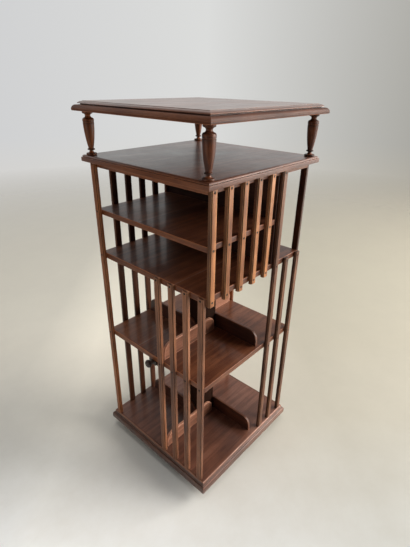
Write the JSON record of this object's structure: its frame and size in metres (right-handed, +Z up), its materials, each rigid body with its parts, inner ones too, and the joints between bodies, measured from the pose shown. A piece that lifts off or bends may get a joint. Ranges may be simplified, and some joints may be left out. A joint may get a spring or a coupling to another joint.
{
  "type": "revolving bookcase",
  "caption": "Square open bookcase of shelves and upright slats that turns on a central spindle, with a small raised table top on turned balusters.",
  "frame": {"origin": "on the turning axis at floor level, in the middle of the foot's four pads", "axes": "+Z up along the turning axis, -Y out of the case's face to the right of the nearest corner in the picture, -X out of its left face, from which the slide pulls out"},
  "size_m": [0.4996, 0.4996, 1.1815],
  "materials": {
    "top_wood": "satin french polish",
    "board_wood": "satin french polish",
    "slat_wood": "satin french polish",
    "turned_wood": "satin french polish",
    "inner_wood": "satin french polish",
    "slide_wood": "satin, dark stained",
    "foot_wood": "matte, unpolished",
    "screw_steel": "dulled dark steel",
    "bright_steel": "turned, oiled",
    "iron_plate": "black, rough",
    "bush_brass": "turned"
  },
  "bodies": {
    "foot": {"foot_bearer_cross": "foot_wood", "foot_bearer_long": "foot_wood", "foot_pads": "foot_wood", "pivot_plate": "iron_plate", "pivot_plate_screws": "screw_steel", "spindle": "bright_steel", "thrust_washer": "bright_steel"},
    "case": {"back_panel": "board_wood", "baluster_back": "turned_wood", "baluster_left": "turned_wood", "baluster_near": "turned_wood", "baluster_right": "turned_wood", "base_board": "board_wood", "book_stop_lower_back_left": "inner_wood", "book_stop_lower_back_right": "inner_wood", "book_stop_lower_left": "inner_wood", "book_stop_lower_right": "inner_wood", "book_stop_middle_back_left": "inner_wood", "book_stop_middle_back_right": "inner_wood", "book_stop_middle_left": "inner_wood", "book_stop_middle_right": "inner_wood", "case_top": "top_wood", "half_shelf": "board_wood", "head_block": "inner_wood", "head_bush": "bush_brass", "hub_plate": "iron_plate", "hub_plate_screws": "screw_steel", "lower_column": "inner_wood", "lower_shelf": "board_wood", "middle_column": "inner_wood", "middle_shelf": "board_wood", "slat_back_corner_long": "slat_wood", "slat_back_left_long_1": "slat_wood", "slat_back_left_long_2": "slat_wood", "slat_back_left_long_3": "slat_wood", "slat_back_left_upper_1": "slat_wood", "slat_back_left_upper_2": "slat_wood", "slat_left_corner_long": "slat_wood", "slat_left_lower_1": "slat_wood", "slat_left_lower_2": "slat_wood", "slat_left_lower_3": "slat_wood", "slat_left_lower_4": "slat_wood", "slat_right_corner_upper": "slat_wood", "slat_right_long": "slat_wood", "slat_right_lower_1": "slat_wood", "slat_right_lower_2": "slat_wood", "slat_right_upper_1": "slat_wood", "slat_right_upper_2": "slat_wood", "slat_right_upper_3": "slat_wood", "slat_right_upper_4": "slat_wood", "slat_right_upper_5": "slat_wood", "slat_screws": "screw_steel", "slats_back_right_lower": "slat_wood", "slide_runners": "slide_wood", "slide_stop_peg": "slide_wood", "table_board": "top_wood", "table_frame_rails": "top_wood", "upper_board": "board_wood"},
    "slide": {"slide_bar": "slide_wood", "slide_knob": "slide_wood"}
  },
  "joints": [
    {"name": "revolve", "type": "hinge", "parent": "foot", "child": "case", "pos_m": [0, 0, 0], "axis": [0, 0, 1], "continuous": true},
    {"name": "slide_pull", "type": "slide", "parent": "case", "child": "slide", "axis": [-1, 0, 0], "range_m": [0, 0.11]}
  ]
}
